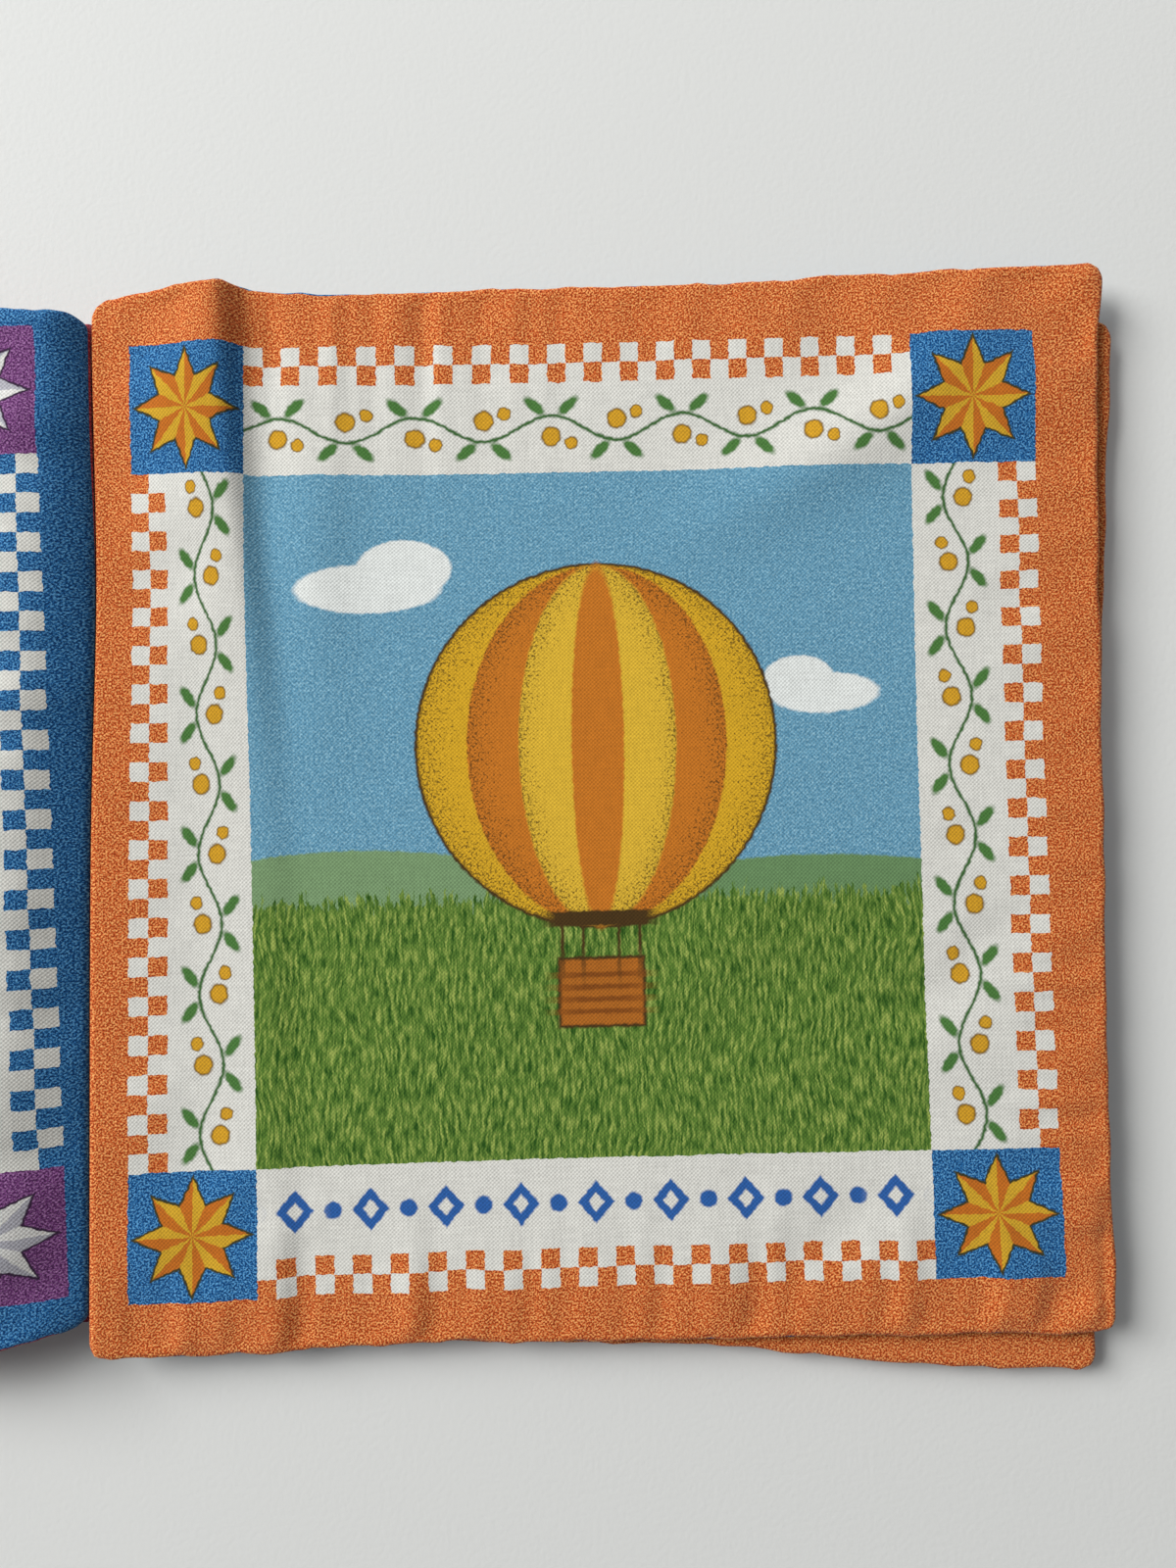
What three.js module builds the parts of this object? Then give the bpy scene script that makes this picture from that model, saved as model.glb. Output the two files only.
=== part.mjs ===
// Cloth book lying open on a table: four padded double sheets nested and sewn through the fold,
// which makes eight leaves, five turned to the left and three still on the right.
// Millimetres, +Z up. The spine runs along Y, and the origin is on the table under the fold.
import * as THREE from 'three';

// Leaf outline
const PAGE_WIDTH = 200;
const PAGE_HEIGHT = 211;
const CORNER_RADIUS = 6.5;
const DRAWN_IN = 1;

// Layers of a leaf
const CLOTH = 0.35;
const WADDING = 1.2;
const FIT = 0.3;
const EDGE_POCKET = 0.85;
const SEAM_TAPER = 14;
const SEAM_INSET = 1.3;
const THREAD = 0.35;

// Ridge that stands up in the topmost right leaf beside the gutter
const RIDGE_HEIGHT = 4.5;
const RIDGE_START = 2;
const RIDGE_PEAK = 24;
const RIDGE_END = 66;
const RIDGE_FOOT_SHARE = 0.25;

// Sewn spine
const FOLD_WIDTH = 3;
const FOLD_THICKNESS = 1.6;
const FOLD_INSET = 3;
const STITCH_LENGTH = 3.5;
const STITCH_RISE = 0.25;
const STITCH_OFFSET = 0.8;
const STITCH_INSET = 4;

const fullHalf = WADDING / 2 + FIT + CLOTH;
const edgeHalf = EDGE_POCKET / 2 + CLOTH;
const leafPitch = 2 * fullHalf + FIT;
const gutterEdge = FOLD_WIDTH / 2 + FIT;
const halfHeight = PAGE_HEIGHT / 2;

const ORANGE = 0xc8662f;
const BLUE = 0x1f5578;
const CRIMSON = 0x9c2136;
const GREEN = 0x4c7a35;
const PURPLE = 0x6a3d66;
const COTTON_WHITE = 0xe9e6dc;
const THREAD_WHITE = 0xdedbd0;

// Each sheet of the book, outermost first, with its two leaves and how crookedly it was sewn in:
// rise is the slope of its head and foot in degrees, upwards to the right, turn the clockwise tilt
// of its fore edges, and slip its shift along the spine
const SHEETS = [
  { leaves: [1, 8], rise: -0.8, turn: 1, slip: -0.7, foldColour: BLUE },
  { leaves: [2, 7], rise: -1.7, turn: 2.2, slip: -1.5, foldColour: CRIMSON },
  { leaves: [3, 6], rise: 0.9, turn: 0, slip: 0, foldColour: ORANGE },
  { leaves: [4, 5], rise: 0, turn: 0, slip: 0, foldColour: CRIMSON },
];

// Border colours of each leaf: front is the face seen while the leaf lies on the right
const LEAF_COLOURS = {
  1: { front: BLUE, back: GREEN },
  2: { front: CRIMSON, back: PURPLE },
  3: { front: BLUE, back: ORANGE },
  4: { front: CRIMSON, back: GREEN },
  5: { front: CRIMSON, back: BLUE },
  6: { front: ORANGE, back: BLUE },
  7: { front: ORANGE, back: CRIMSON },
  8: { front: GREEN, back: ORANGE },
};
const LEFT_STACK = [1, 2, 3, 4, 5];
const RIGHT_STACK = [8, 7, 6];

function mesh(name, geometry, colour, roughness) {
  const material = new THREE.MeshStandardMaterial({ color: colour, roughness, metalness: 0 });
  const piece = new THREE.Mesh(geometry, material);
  piece.name = name;
  return piece;
}

// A thin closed slab over a grid of stations: shape(u, v) gives its place and its two faces
function slab(acrossStations, alongStations, shape) {
  const acrossCells = acrossStations.length - 1;
  const alongCells = alongStations.length - 1;
  const geometry = new THREE.BoxGeometry(1, 1, 1, acrossCells, alongCells, 1);
  const points = geometry.attributes.position;
  for (let n = 0; n < points.count; n += 1) {
    const u = acrossStations[Math.round((points.getX(n) + 0.5) * acrossCells)];
    const v = alongStations[Math.round((points.getY(n) + 0.5) * alongCells)];
    const { x, y, upper, lower } = shape(u, v);
    points.setXYZ(n, x, y, points.getZ(n) > 0 ? upper : lower);
  }
  geometry.computeVertexNormals();
  return geometry;
}

// A square cord through a list of points, with its width level and across its run
function cord(points, thickness) {
  const last = points.length - 1;
  const geometry = new THREE.BoxGeometry(1, 1, 1, last, 1, 1);
  const corners = geometry.attributes.position;
  const up = new THREE.Vector3(0, 0, 1);
  for (let n = 0; n < corners.count; n += 1) {
    const station = Math.round((corners.getX(n) + 0.5) * last);
    const ahead = points[Math.min(station + 1, last)];
    const behind = points[Math.max(station - 1, 0)];
    const side = new THREE.Vector3().crossVectors(up, ahead.clone().sub(behind)).normalize();
    const corner = points[station].clone();
    corner.addScaledVector(side, corners.getY(n) * thickness);
    corner.z += corners.getZ(n) * thickness;
    corners.setXYZ(n, corner.x, corner.y, corner.z);
  }
  geometry.computeVertexNormals();
  return geometry;
}

function evenly(from, to, cells) {
  return Array.from({ length: cells + 1 }, (_, n) => from + ((to - from) * n) / cells);
}

// Grid stations from edge to edge: close together round the corners and the swelling seam
function stations(length, middle) {
  const corner = [0, CORNER_RADIUS / 2, CORNER_RADIUS];
  return [...corner, ...middle, ...corner.map((d) => length - d).reverse()];
}

// Leaf surface: u runs from the gutter to the fore edge, v along the spine
function pagePoint(u, v, { rise, turn, slip }) {
  const straight = { u: PAGE_WIDTH / 2 - CORNER_RADIUS, v: halfHeight - CORNER_RADIUS };
  const fromMiddle = u - PAGE_WIDTH / 2;
  const p = Math.max(Math.abs(fromMiddle) - straight.u, 0) / CORNER_RADIUS;
  const q = Math.max(Math.abs(v) - straight.v, 0) / CORNER_RADIUS;
  let across = u;
  let along = v;
  if (p > 0 && q > 0) {
    const reach = straight.u + CORNER_RADIUS * p * Math.sqrt(1 - (q * q) / 2);
    const climb = straight.v + CORNER_RADIUS * q * Math.sqrt(1 - (p * p) / 2);
    across = PAGE_WIDTH / 2 + Math.sign(fromMiddle) * reach;
    along = Math.sign(v) * climb;
  }
  const acrossShare = across / PAGE_WIDTH;
  const alongShare = along / halfHeight;
  const drawnAcross = across - DRAWN_IN * acrossShare * (1 - alongShare ** 2);
  const drawnAlong = along - DRAWN_IN * alongShare * (1 - (2 * acrossShare - 1) ** 2);
  const slope = (degrees) => Math.tan(THREE.MathUtils.degToRad(degrees));
  return {
    x: drawnAcross + acrossShare * drawnAlong * slope(turn),
    y: drawnAlong + drawnAcross * slope(rise) + slip,
  };
}

// Half of a leaf's thickness: thin at the sewn edges, swelling to the full wadding
function halfThickness(u, v) {
  const inside = Math.min(u, PAGE_WIDTH - u, halfHeight - Math.abs(v));
  return THREE.MathUtils.lerp(edgeHalf, fullHalf, THREE.MathUtils.smoothstep(inside, 0, SEAM_TAPER));
}

// How far the ridge lifts the leaf: highest at the head of the page, fading to its foot
function ridgeLift(u, v) {
  const climb = THREE.MathUtils.smoothstep(u, RIDGE_START, RIDGE_PEAK);
  const fall = 1 - THREE.MathUtils.smoothstep(u, RIDGE_PEAK, RIDGE_END);
  const fade = THREE.MathUtils.smoothstep(v, -halfHeight, halfHeight);
  return RIDGE_HEIGHT * climb * fall * THREE.MathUtils.lerp(RIDGE_FOOT_SHARE, 1, fade);
}

const flat = () => 0;

// One padded leaf, lying face up with its gutter edge at x = 0 and its middle plane at z = 0
function leaf(number, sewing) {
  const ridged = number === RIGHT_STACK.at(-1);
  const lift = ridged ? ridgeLift : flat;
  const ridgeStations = [SEAM_TAPER, RIDGE_PEAK, (RIDGE_PEAK + RIDGE_END) / 2, RIDGE_END];
  const middle = ridged ? ridgeStations : [SEAM_TAPER, PAGE_WIDTH / 2];
  const rows = ridged ? 8 : 3;
  const us = stations(PAGE_WIDTH, [...middle, PAGE_WIDTH - SEAM_TAPER]);
  const vs = stations(PAGE_HEIGHT, evenly(SEAM_TAPER, PAGE_HEIGHT - SEAM_TAPER, rows)).map((d) => d - halfHeight);

  const layer = (inner, outer) => (u, v) => {
    const middleHeight = lift(u, v);
    const half = halfThickness(u, v);
    const faces = { upper: middleHeight + outer(half), lower: middleHeight + inner(half) };
    return { ...pagePoint(u, v, sewing), ...faces };
  };
  const insideCloth = (half) => half - CLOTH;
  const insideWadding = (half) => half - CLOTH - FIT;
  const frontCloth = slab(us, vs, layer(insideCloth, (half) => half));
  const backCloth = slab(us, vs, layer((half) => -half, (half) => -insideCloth(half)));

  // The wadding stops short of the rounded corners, where the seam allowance is turned in
  const wadding = slab(us.slice(2, -2), vs.slice(2, -2), layer((half) => -insideWadding(half), insideWadding));

  // The seam runs up the foot edge, round the fore edge and back along the head edge
  const foot = SEAM_INSET - halfHeight;
  const fore = PAGE_WIDTH - SEAM_INSET;
  const seamAcross = us.slice(2, -1);
  const seamAlong = vs.slice(1, -1);
  const seamStations = [
    ...seamAcross.map((u) => [u, foot]),
    [fore, foot],
    ...seamAlong.map((v) => [fore, v]),
    [fore, -foot],
    ...seamAcross.map((u) => [u, -foot]).reverse(),
  ];
  const seam = cord(seamStations.map(([u, v]) => {
    const { x, y } = pagePoint(u, v, sewing);
    return new THREE.Vector3(x, y, lift(u, v));
  }), THREAD);

  const colours = LEAF_COLOURS[number];
  const group = new THREE.Group();
  group.add(
    mesh(`leaf_${number}_front_cloth`, frontCloth, colours.front, 0.9),
    mesh(`leaf_${number}_wadding`, wadding, COTTON_WHITE, 1),
    mesh(`leaf_${number}_back_cloth`, backCloth, colours.back, 0.9),
    mesh(`leaf_${number}_seam_thread`, seam, THREAD_WHITE, 0.7),
  );
  return group;
}

// The fold of one sheet, pressed flat by the stitching that holds all four together
function sheetFold(level) {
  const left = -FOLD_WIDTH / 2;
  const right = FOLD_WIDTH / 2;
  const length = PAGE_HEIGHT - 2 * FOLD_INSET;
  const section = new THREE.Shape();
  section.moveTo(left, 0);
  if (level === 0) {
    // The lower thread is pulled up into the outermost fold, clear of the table
    const grooveHalf = THREAD / 2 + FIT;
    const grooveDepth = THREAD + STITCH_RISE + 2 * FIT;
    section.lineTo(STITCH_OFFSET - grooveHalf, 0);
    section.lineTo(STITCH_OFFSET - grooveHalf, grooveDepth);
    section.lineTo(STITCH_OFFSET + grooveHalf, grooveDepth);
    section.lineTo(STITCH_OFFSET + grooveHalf, 0);
  }
  section.lineTo(right, 0);
  section.lineTo(right, FOLD_THICKNESS);
  section.lineTo(left, FOLD_THICKNESS);
  section.closePath();
  const geometry = new THREE.ExtrudeGeometry(section, { depth: length, bevelEnabled: false });
  geometry.rotateX(Math.PI / 2);
  geometry.translate(0, length / 2, level * (FOLD_THICKNESS + FIT));
  return geometry;
}

// A row of machine stitches: the thread rises over each stitch and dips at each needle hole
function stitchRow(lowest) {
  const run = PAGE_HEIGHT - 2 * STITCH_INSET;
  const count = Math.round(run / STITCH_LENGTH);
  const points = evenly(-run / 2, run / 2, 2 * count).map((y, n) => {
    const height = lowest + THREAD / 2 + (n % 2) * STITCH_RISE;
    return new THREE.Vector3(STITCH_OFFSET, y, height);
  });
  return cord(points, THREAD);
}

const book = new THREE.Group();

const sheetOf = (number) => SHEETS.find(({ leaves }) => leaves.includes(number));

// Left leaves are turned over, so the slopes of their sheet are the opposite way round on them
LEFT_STACK.forEach((number, level) => {
  const { rise, turn, slip } = sheetOf(number);
  const group = leaf(number, { rise: -rise, turn: -turn, slip });
  group.position.set(-gutterEdge, 0, fullHalf + level * leafPitch);
  group.rotation.y = Math.PI;
  book.add(group);
});

RIGHT_STACK.forEach((number, level) => {
  const group = leaf(number, sheetOf(number));
  group.position.set(gutterEdge, 0, fullHalf + level * leafPitch);
  book.add(group);
});

SHEETS.forEach(({ foldColour }, level) => {
  book.add(mesh(`sheet_${level + 1}_fold`, sheetFold(level), foldColour, 0.9));
});

const foldsTop = SHEETS.length * (FOLD_THICKNESS + FIT) - FIT;
book.add(mesh('needle_thread', stitchRow(foldsTop + FIT), THREAD_WHITE, 0.7));
book.add(mesh('bobbin_thread', stitchRow(FIT), THREAD_WHITE, 0.7));

export default book;
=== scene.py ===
import math

import bmesh
import bpy
import numpy as np
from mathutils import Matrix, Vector


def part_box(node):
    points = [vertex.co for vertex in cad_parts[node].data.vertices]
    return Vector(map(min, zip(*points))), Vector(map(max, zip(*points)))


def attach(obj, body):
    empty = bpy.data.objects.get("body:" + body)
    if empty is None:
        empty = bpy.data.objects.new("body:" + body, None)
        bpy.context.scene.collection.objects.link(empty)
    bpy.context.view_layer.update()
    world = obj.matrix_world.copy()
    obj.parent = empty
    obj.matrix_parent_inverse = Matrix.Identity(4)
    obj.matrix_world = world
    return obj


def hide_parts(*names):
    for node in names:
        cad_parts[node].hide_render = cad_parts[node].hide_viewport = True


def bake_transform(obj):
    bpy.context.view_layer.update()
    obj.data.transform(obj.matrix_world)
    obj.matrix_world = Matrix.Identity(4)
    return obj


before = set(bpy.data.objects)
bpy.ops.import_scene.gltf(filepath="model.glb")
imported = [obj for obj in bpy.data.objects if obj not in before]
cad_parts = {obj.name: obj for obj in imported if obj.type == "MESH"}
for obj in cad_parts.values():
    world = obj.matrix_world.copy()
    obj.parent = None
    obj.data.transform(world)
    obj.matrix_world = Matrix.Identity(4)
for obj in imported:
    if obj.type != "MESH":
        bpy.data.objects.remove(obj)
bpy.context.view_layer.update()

# Sheet folds
# The middles of the four double sheets, nested one in the other and pressed flat by the stitching
# through them. Each is two cottons and the wadding squeezed into a narrow band.
MM = 0.001
FOLD_ROWS = 70
FOLD_SHORTER = 0.955
FOLD_ROUNDING = 0.5 * MM
FOLD_LUMP = 0.12 * MM
FOLD_LUMP_PERIOD = 7
FOLD_GROOVE_AT = 0.8 * MM
FOLD_GROOVE_HALF = 0.5 * MM
FOLD_GROOVE_DEPTH = 1.15 * MM
FOLD_GROOVE_EDGE = 0.1 * MM
FOLD_DYES = {"sheet_1_fold": "blue", "sheet_2_fold": "crimson",
             "sheet_3_fold": "orange", "sheet_4_fold": "crimson"}
WAVE_SHARES = (0.61, 0.83, 1.0, 1.37, 1.9)

# Each dye of the heathered cottons, from its dark threads over its body to its pale flecks
DYES = {
    "orange": ("#a03a0a", "#dc6024", "#fab068"),
    "blue": ("#033b70", "#0f62a2", "#60a3d4"),
    "crimson": ("#7d1527", "#a3263b", "#cc6a74"),
    "green": ("#33602a", "#558a3c", "#92b878"),
    "purple": ("#54265a", "#7b3c80", "#a877ab"),
}

# Flecks and threads in millimetres. Real threads are too fine to show in the render, so these are drawn
# as coarse as they need to be. A relief is its strength and depth.
FLECK = 0.38
FLECK_STOPS = (0.42, 0.58)
GRAIN = (2.0, 0.6)
THREAD_REPEAT = 0.78
THREAD_RELIEF = (0.7, 0.05 * MM)
# Painted shade and highlight of the weave: the colour is scaled from the first to the second factor as the
# threads dip under and rise over each other
WEAVE_PAINTED_SHADE_AND_HIGHLIGHT = (0.64, 1.28)
CROSSING_SHARE = 0.7
SLUB = 0.45
SLUB_LONG = 0.1


def linear(code):
    """An sRGB hex colour as linear light"""
    parts = [int(code[n:n + 2], 16) / 255 for n in (1, 3, 5)]
    return [c / 12.92 if c <= 0.04045 else ((c + 0.055) / 1.055) ** 2.4 for c in parts] + [1.0]


def fill(tree, sockets, values):
    """Links or sets each input; one that is given None stays as it is"""
    for socket, value in zip(sockets, values):
        if isinstance(value, bpy.types.NodeSocket):
            tree.links.new(value, socket)
        elif value is not None:
            socket.default_value = value


def add_node(tree, kind, *values, **settings):
    """Adds a shader node of a kind, and mode where it has one, fills its inputs and gives its output"""
    kind, *mode = kind.split()
    made = tree.nodes.new("ShaderNode" + kind)
    if mode:
        setattr(made, "data_type" if kind == "Mix" else "operation", mode[0])
    for name, value in settings.items():
        setattr(made, name, value)
    fill(tree, [socket for socket in made.inputs if socket.enabled], values)
    return next(socket for socket in made.outputs if socket.enabled)


def surface(material, values):
    """Fills the named inputs of the material's own shader"""
    inputs = material.node_tree.nodes["Principled BSDF"].inputs
    fill(material.node_tree, [inputs[name] for name in values], values.values())
    return material


def new_stuff(name):
    """A new material, its node tree and the piece's own coordinates in millimetres"""
    material = bpy.data.materials.new(name)
    material.use_nodes = True
    tree = material.node_tree
    spot = add_node(tree, "TexCoord").node.outputs["Object"]
    return material, tree, add_node(tree, "VectorMath MULTIPLY", spot, (1 / MM,) * 3)


def speckled(tree, place, shades, grain, reach):
    """Fine flecks in a dark, a middle and a pale shade of one colour"""
    noise = add_node(tree, "TexNoise", place, 1 / grain, *GRAIN)
    ramp = add_node(tree, "ValToRGB", noise)
    stops = ramp.node.color_ramp.elements
    for stop, at, shade in zip(stops, reach, shades[::2]):
        stop.position, stop.color = at, linear(shade)
    stops.new(0.5).color = linear(shades[1])
    return ramp


def woven_finish(material, place, colour):
    """Matt plain weave: uneven yarns that cross over and under each other, with a soft nap; the colour
    carries painted shade where the threads dip and painted highlight on their crowns
    """
    tree = material.node_tree
    turn = 2 * math.pi / THREAD_REPEAT
    spun = add_node(tree, "VectorMath MULTIPLY", place, (turn,) * 3)
    waves = add_node(tree, "VectorMath SINE", spun)
    across, along, _ = add_node(tree, "SeparateXYZ", waves).node.outputs
    crossing = add_node(tree, "Math MULTIPLY", across, along)
    yarns = []
    for run in ((1, SLUB_LONG, 1), (SLUB_LONG, 1, 1)):
        drawn_out = add_node(tree, "VectorMath MULTIPLY", place, run)
        yarns.append(add_node(tree, "TexNoise", drawn_out, 1 / SLUB, *GRAIN))
    both = add_node(tree, "Math ADD", *yarns)
    thread = add_node(tree, "Math MULTIPLY_ADD", crossing, CROSSING_SHARE, both)
    relief = add_node(tree, "Bump", *THREAD_RELIEF, None, thread)
    # Painted shade and highlight: the colour darkens where the threads dip and brightens on their crowns,
    # and also varies with the yarns' own unevenness
    shade = add_node(tree, "MapRange", thread, 0.0, 2.0, *WEAVE_PAINTED_SHADE_AND_HIGHLIGHT)
    weave_with_painted_shade = add_node(tree, "VectorMath SCALE", colour, shade)
    return surface(material, {"Base Color": weave_with_painted_shade, "Normal": relief, "Roughness": 0.92,
                              "Specular IOR Level": 0.18, "Sheen Weight": 0.12, "Sheen Roughness": 0.5})


def plain_cotton(dye):
    """Unprinted stretch of the heathered cotton, on the piece's own coordinates"""
    material, tree, place = new_stuff(f"heathered_cotton_{dye}")
    return woven_finish(material, place, speckled(tree, place, DYES[dye], FLECK, FLECK_STOPS))


def piece_from(name, bm, material):
    """A smooth-shaded piece of the object from its finished bmesh"""
    bmesh.ops.recalc_face_normals(bm, faces=bm.faces)
    mesh = bpy.data.meshes.new(name)
    bm.to_mesh(mesh)
    bm.free()
    mesh.polygons.foreach_set("use_smooth", [True] * len(mesh.polygons))
    mesh.materials.append(material)
    piece = bpy.data.objects.new(name, mesh)
    bpy.context.collection.objects.link(piece)
    return piece


def waver(along, period, seed):
    """An uneven wave of about one period, mostly between -1 and 1"""
    draws = np.random.default_rng(seed)
    total = np.zeros_like(along, dtype=float)
    for share in WAVE_SHARES:
        total += np.sin(2 * math.pi * along * share / period + draws.uniform(0, 2 * math.pi))
    return total / 3


def lengthways(bm):
    return [e for e in bm.edges if abs(e.verts[0].co.y - e.verts[1].co.y) > MM]


for seed, (node, dye) in enumerate(FOLD_DYES.items()):
    low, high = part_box(node)
    bm = bmesh.new()
    bmesh.ops.create_cube(bm, size=1)
    bmesh.ops.scale(bm, vec=high - low, verts=bm.verts)
    bmesh.ops.scale(bm, vec=(1, FOLD_SHORTER, 1), verts=bm.verts)
    bmesh.ops.translate(bm, vec=(low + high) / 2, verts=bm.verts)
    bmesh.ops.bevel(bm, geom=lengthways(bm), offset=FOLD_ROUNDING, offset_type="OFFSET", affect="EDGES",
                    segments=3, profile=0.5, material=-1)
    bmesh.ops.subdivide_edges(bm, edges=lengthways(bm), cuts=FOLD_ROWS, use_grid_fill=True)
    if node == "sheet_1_fold":
        for side in (-1, 1):
            flank = FOLD_GROOVE_AT + side * FOLD_GROOVE_HALF
            for at in (flank, flank - side * FOLD_GROOVE_EDGE):
                bmesh.ops.bisect_plane(bm, geom=bm.verts[:] + bm.edges[:] + bm.faces[:],
                                       plane_co=(at, 0, 0), plane_no=(1, 0, 0))
        for vert in bm.verts:
            in_groove = abs(vert.co.x - FOLD_GROOVE_AT) < FOLD_GROOVE_HALF - FOLD_GROOVE_EDGE / 2
            if in_groove and vert.co.z < low.z + FOLD_GROOVE_EDGE:
                vert.co.z += FOLD_GROOVE_DEPTH
    for vert in bm.verts:
        lump = FOLD_LUMP * float(waver(np.array(vert.co.y / MM), FOLD_LUMP_PERIOD, seed))
        vert.co.x += lump * (1 if vert.co.x > (low.x + high.x) / 2 else -1)
    fold = piece_from(f"{node}_cloth", bm, plain_cotton(dye))
    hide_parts(node)
    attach(fold, "spine")

# Spine stitching
# White cotton-covered thread in a machine lockstitch through all four folds: the needle thread on
# top and the bobbin thread drawn up into the outermost fold. Each stitch rises and dips at its hole.
STITCH = 3.5
STITCH_RISE = 0.25 * MM
ROW_SHORTER = 0.93
STITCH_STEPS = 6
THREAD_RADIUS = 0.17 * MM
TWIST = 3.78
TWIST_RELIEF = (0.6, 0.06 * MM)
# Darker ink: painted shade in the grooves of the twist; paler ink: the thread's own off-white
THREAD_GROOVE_SHADE_AND_OWN_INKS = ("#bdb8aa", "#efece2")


def twisted_thread(name):
    """Two-ply sewing thread: off-white, slightly glossy, its twist drawn coarse enough to show, with
    painted shade in the grooves of the twist
    """
    material, tree, place = new_stuff(name)
    twist = add_node(tree, "TexWave", place, 1 / TWIST, 1.5, 2.0, bands_direction="DIAGONAL")
    ply = twist.node.outputs["Fac"]
    # Painted shade: the darker ink lies where the twist dips, the paler one on the crowns of the plies
    colour = add_node(tree, "Mix RGBA", ply, *map(linear, THREAD_GROOVE_SHADE_AND_OWN_INKS))
    relief = add_node(tree, "Bump", *TWIST_RELIEF, None, ply)
    return surface(material, {"Base Color": colour, "Normal": relief, "Roughness": 0.6})


def thread_along(name, points, material):
    """A round thread through a list of points, as a mesh"""
    path = bpy.data.curves.new(name, "CURVE")
    path.dimensions = "3D"
    path.bevel_depth = THREAD_RADIUS
    path.bevel_resolution = 1
    path.use_fill_caps = True
    spline = path.splines.new("POLY")
    spline.points.add(len(points) - 1)
    for point, at in zip(spline.points, points):
        point.co = (*at, 1)
    drawn = bpy.data.objects.new(name, path)
    mesh = bpy.data.meshes.new_from_object(drawn)
    bpy.data.objects.remove(drawn)
    bm = bmesh.new()
    bm.from_mesh(mesh)
    bmesh.ops.remove_doubles(bm, verts=bm.verts, dist=0.001 * MM)
    return piece_from(name, bm, material)


sewing_thread = twisted_thread("cotton_covered_thread")
for node, up in (("needle_thread", 1), ("bobbin_thread", -1)):
    low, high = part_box(node)
    low.y, high.y = low.y * ROW_SHORTER, high.y * ROW_SHORTER
    count = round((high.y - low.y) / (STITCH * MM))
    middle = (low.z + high.z) / 2
    points = []
    for point in range(count * STITCH_STEPS + 1):
        arch = abs(math.sin(math.pi * point / STITCH_STEPS)) ** 0.5
        y = low.y + (high.y - low.y) * point / (count * STITCH_STEPS)
        points.append(((low.x + high.x) / 2, y, middle + up * STITCH_RISE * (arch - 0.5)))
    row = thread_along(f"{node}_row", points, sewing_thread)
    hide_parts(node)
    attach(row, "spine")

# Leaves: shape
# Each leaf is two printed cottons sewn right sides together round three edges, turned and filled
# with thin wadding, so its edges are round and drawn in, with puckers where the seam is tight.
PAGE_WIDTH = 200
PAGE_HEIGHT = 211
HALF_HEIGHT = PAGE_HEIGHT / 2
CORNER = 4
DRAWN_IN = 1
GUTTER = 1.8
FULL_HALF = 1.25
LEAF_PITCH = 2.8
EDGE_ROLL = 1.0
EDGE_HALF = 0.75
CROWN_HALF = 1.12
SWELL_WIDTH = 14
SEAM_LINE = 0.02
EDGE_ZONE = 30
EDGE_FADE = 3
RIM_WIDTH = 8
CLOTH = 0.35
DIP_WIDTH = {-1: 10, 1: 24}
EDGE_STATIONS = np.array([0, 0.08, 0.3, 0.65, 1.1, 1.8, 2.8, 4.0, 5.4])
FAR_STATION = 7
BEND_FROM = 1.5
BEND_STEP = 0.45

# Side of the spine, level in its stack, what the leaf is sewn down on, height and half thickness at the
# gutter, width of the strip that bends, rise and turn in degrees, and slip along the spine
LEAF_TRAITS = ("side", "level", "rests", "gutter", "bend", "rise", "turn", "slip")
LEAF_ROWS = {
    1: (-1, 0, "spine", (0.9, 0.5), 13, 0.8, -1, -0.7),
    2: (-1, 1, "leaf_1", (2.7, 0.5), 11, 1.7, -2.2, -1.5),
    3: (-1, 2, "leaf_2", (4.6, 0.5), 9, -0.9, 0, 0),
    4: (-1, 3, "leaf_3", (6.5, 0.5), 8, 0, 0, 0),
    5: (-1, 4, "leaf_4", (9.0, 0.6), 7, 0, 0, 0),
    8: (1, 0, "spine", (0.9, 0.5), 13, -0.8, 1, -0.7),
    7: (1, 1, "leaf_8", (3.2, 0.6), 11, -1.7, 2.2, -1.5),
    6: (1, 2, "leaf_7", (9.0, 0.85), 7, 0.9, 0, 0),
}
LEAVES = {number: dict(zip(LEAF_TRAITS, row)) for number, row in LEAF_ROWS.items()}
TOP_LEFT = 5
TOP_RIGHT = 6

# Uneven run of each edge: height, period and seed of its waves
EDGE_WAVES = {"fore": (0.22, 24, 10), "head": (0.25, 24, 20), "foot": (0.3, 21, 30), "rim": (0.16, 7, 50)}

# Left leaves: a hump beside the gutter, a taper towards it at head and foot (depth and width), and the
# edge of the topmost one, which reaches over the fold in a bow (height, middle and width)
HUMP_HEAD = {"height": 1.4, "middle": 12, "width": 9, "dip": 7}
HUMP_FOOT = {"height": 3.8, "middle": 25, "width": 14, "dip": 16}
HUMP_CLIMB = (2, 0.3)
TOP_LEVEL = 4
GUTTER_TAPER = ((7.4, 90), (7.0, 42))
GUTTER_BOW = (1.1, 45, 34)
LIP = {TOP_LEFT: 3.2}
LIP_WIDTH = 120
LIP_EDGE = 0.6
LIP_EDGE_WIDTH = 10

# Right leaves under the topmost: how far the foot is drawn in, with a step (depth, start and width)
FOOT_DRAWN = {7: 2.0, 8: 4.0}
FOOT_STEP = (2.7, 118, 50)

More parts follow.
